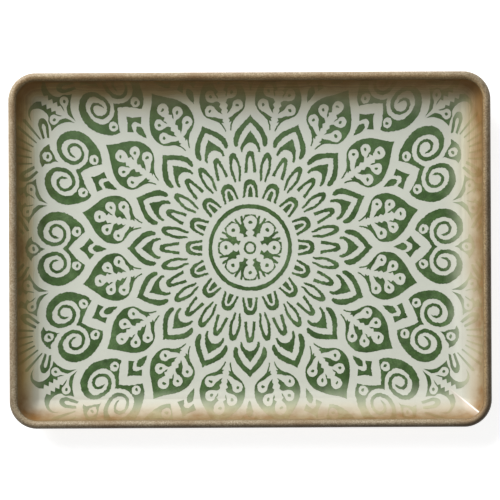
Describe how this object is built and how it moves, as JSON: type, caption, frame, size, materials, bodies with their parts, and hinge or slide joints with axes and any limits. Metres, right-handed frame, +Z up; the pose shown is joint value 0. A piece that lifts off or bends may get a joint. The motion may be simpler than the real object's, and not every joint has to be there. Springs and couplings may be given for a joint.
{
  "type": "painted metal tray",
  "caption": "Rectangular serving tray with a coved wall, rounded corners and a rolled rim over a wire, its pale floor painted with a green wheel of leaves and scrolls.",
  "frame": {"origin": "middle of the underside of the base, on the surface that the tray stands on", "axes": "+X along the length, +Y across the width towards the back edge, +Z up out of the tray"},
  "size_m": [0.4, 0.295, 0.025],
  "materials": {
    "sheet_steel": "bare pressed sheet, hidden under the coats",
    "wire_steel": "drawn steel wire",
    "ground_enamel": "glossy off-white, fading to an antique tan on the wall",
    "rim_enamel": "satin speckled tan",
    "back_enamel": "satin dark tan",
    "green_paint": "glossy mottled green"
  },
  "bodies": {
    "root": {"pan": "sheet_steel", "rim_wire": "wire_steel", "ground_coat": "ground_enamel", "rim_coat": "rim_enamel", "wall_back_coat": "back_enamel", "base_back_coat": "back_enamel", "centre_ring": "green_paint", "rosette": "green_paint", "rosette_dots": "green_paint", "hub_ring": "green_paint", "hoop_band": "green_paint", "hoop_cores": "green_paint", "tongue_band": "green_paint", "lancet_band": "green_paint", "bell_band": "green_paint", "chevron_band": "green_paint", "leaf_band": "green_paint", "leaf_dots": "green_paint", "arrow_band": "green_paint", "diamond_band": "green_paint", "scroll_band": "green_paint", "scroll_dots": "green_paint", "crest_band": "green_paint", "ray_band": "green_paint"}
  },
  "joints": []
}
